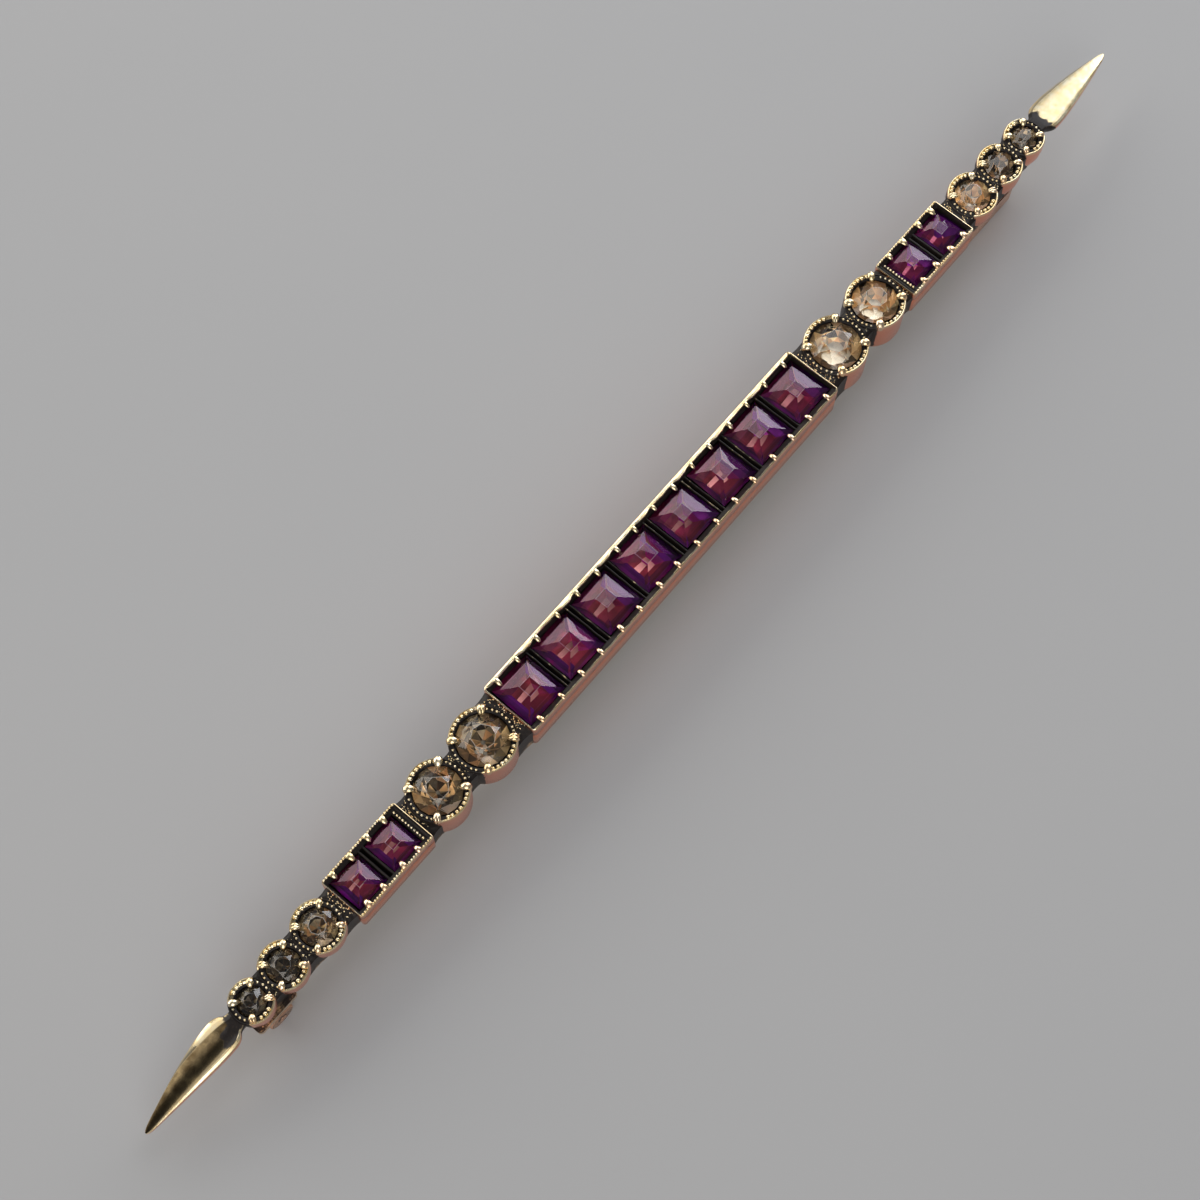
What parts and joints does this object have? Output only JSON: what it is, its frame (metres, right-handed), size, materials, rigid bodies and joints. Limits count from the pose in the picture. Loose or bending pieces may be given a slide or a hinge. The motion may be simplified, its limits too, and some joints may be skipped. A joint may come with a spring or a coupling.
{
  "type": "bar brooch",
  "caption": "Long narrow bar brooch: square purple and round clear stones in blackened gilt settings, leaf tips curving back, pin with hinge and hook catch behind.",
  "frame": {"origin": "on the surface that the brooch lies on, under the middle of the bar", "axes": "+X along the bar towards the catch, +Y across the bar, +Z out of its face"},
  "size_m": [0.1166, 0.0054, 0.0071],
  "materials": {
    "old_gilt": "polished on rims, tabs and tips, blackened in the recesses",
    "pin_gilt": "drawn wire, lightly worn",
    "purple_stone": "polished facets",
    "clear_stone": "polished facets, slightly smoky"
  },
  "bodies": {
    "root": {"frame": "old_gilt", "long_stone_1": "purple_stone", "long_stone_2": "purple_stone", "long_stone_3": "purple_stone", "long_stone_4": "purple_stone", "long_stone_5": "purple_stone", "long_stone_6": "purple_stone", "long_stone_7": "purple_stone", "long_stone_8": "purple_stone", "pin": "pin_gilt", "round_stone_left_1": "clear_stone", "round_stone_left_2": "clear_stone", "round_stone_left_3": "clear_stone", "round_stone_left_4": "clear_stone", "round_stone_left_5": "clear_stone", "round_stone_right_1": "clear_stone", "round_stone_right_2": "clear_stone", "round_stone_right_3": "clear_stone", "round_stone_right_4": "clear_stone", "round_stone_right_5": "clear_stone", "small_stone_left_1": "purple_stone", "small_stone_left_2": "purple_stone", "small_stone_right_1": "purple_stone", "small_stone_right_2": "purple_stone"}
  },
  "joints": []
}
